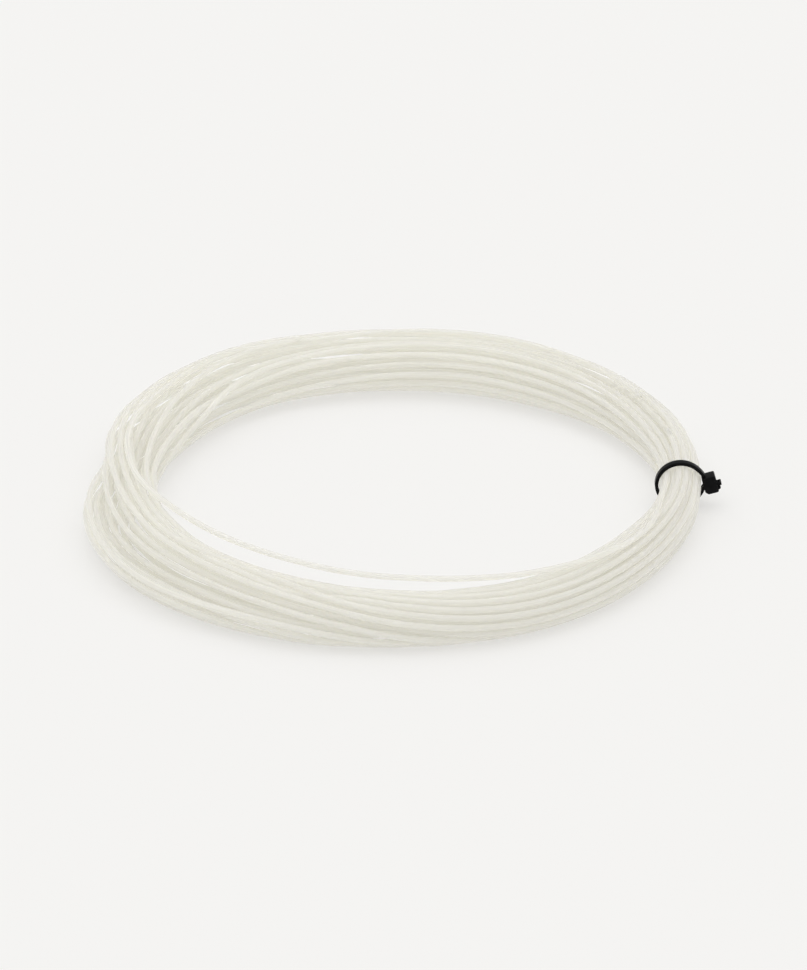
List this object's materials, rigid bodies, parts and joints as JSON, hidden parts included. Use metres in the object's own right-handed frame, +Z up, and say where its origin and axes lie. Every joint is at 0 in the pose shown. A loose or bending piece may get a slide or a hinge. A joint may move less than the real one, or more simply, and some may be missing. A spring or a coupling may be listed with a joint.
{
  "type": "racket string set",
  "caption": "Loose ring-shaped coil of translucent ivory racket string, held at one side by a small black self-locking cable tie.",
  "frame": {"origin": "on the surface the coil lies on, under the middle of the whole part's box", "axes": "+Z up out of the lying coil, +X from the coil's middle towards the cable tie, +Y along the string where the tie holds it"},
  "size_m": [0.1418, 0.1388, 0.0135],
  "materials": {
    "string": "smooth translucent ivory nylon monofilament, glossy",
    "tie": "moulded black nylon, low gloss"
  },
  "bodies": {
    "coil": {"string_coil": "string", "loose_turn": "string"},
    "tie": {"tie_strap": "tie", "tie_head": "tie"},
    "pawl": {"tie_pawl": "tie"}
  },
  "joints": [
    {"name": "tie_swivel", "type": "hinge", "parent": "coil", "child": "tie", "pos_m": [0.06153, -0.00435, 0.0056], "axis": [0, -1, 0], "continuous": true},
    {"name": "pawl_flex", "type": "hinge", "parent": "tie", "child": "pawl", "pos_m": [0.06724, -0.00435, 0.00606], "axis": [0, -1, 0], "range_deg": [0, 12], "stiffness_Nm_per_rad": 0.01}
  ]
}
